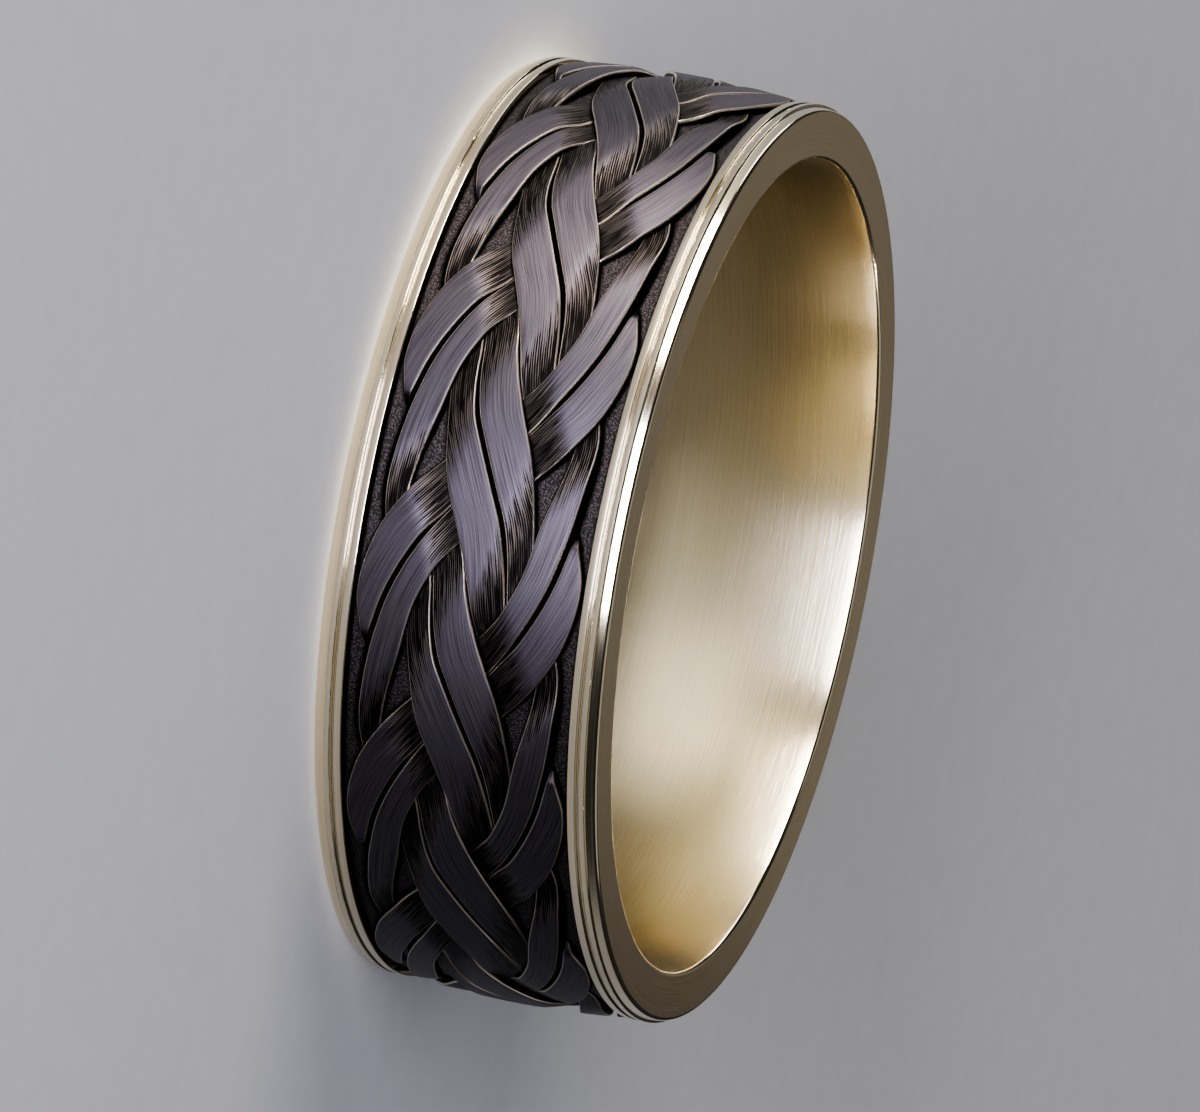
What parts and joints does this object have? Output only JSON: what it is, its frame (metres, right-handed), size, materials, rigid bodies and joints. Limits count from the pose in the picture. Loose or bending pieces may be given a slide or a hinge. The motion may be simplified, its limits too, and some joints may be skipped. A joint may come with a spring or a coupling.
{
  "type": "braided two-metal finger ring",
  "caption": "Wide finger ring in pale gold with stepped rails and a sunken dark inlay of four strands plaited flat around it.",
  "frame": {"origin": "centre of the side face that the ring lies on", "axes": "+Z along the finger hole, from the face that the ring lies on to the other; the braid crosses the middle of the band at +X"},
  "size_m": [0.0224, 0.0224, 0.007],
  "materials": {
    "gold": "pale champagne gold, polished rails, satin side faces and finger hole",
    "dark_floor": "blackened and finely grained dark metal",
    "dark_braid": "dark grey metal brushed along each strand, edges worn bright"
  },
  "bodies": {
    "root": {"gold_band": "gold", "inlay_sleeve": "dark_floor", "strand_1": "dark_braid", "strand_2": "dark_braid", "strand_3": "dark_braid", "strand_4": "dark_braid"}
  },
  "joints": []
}
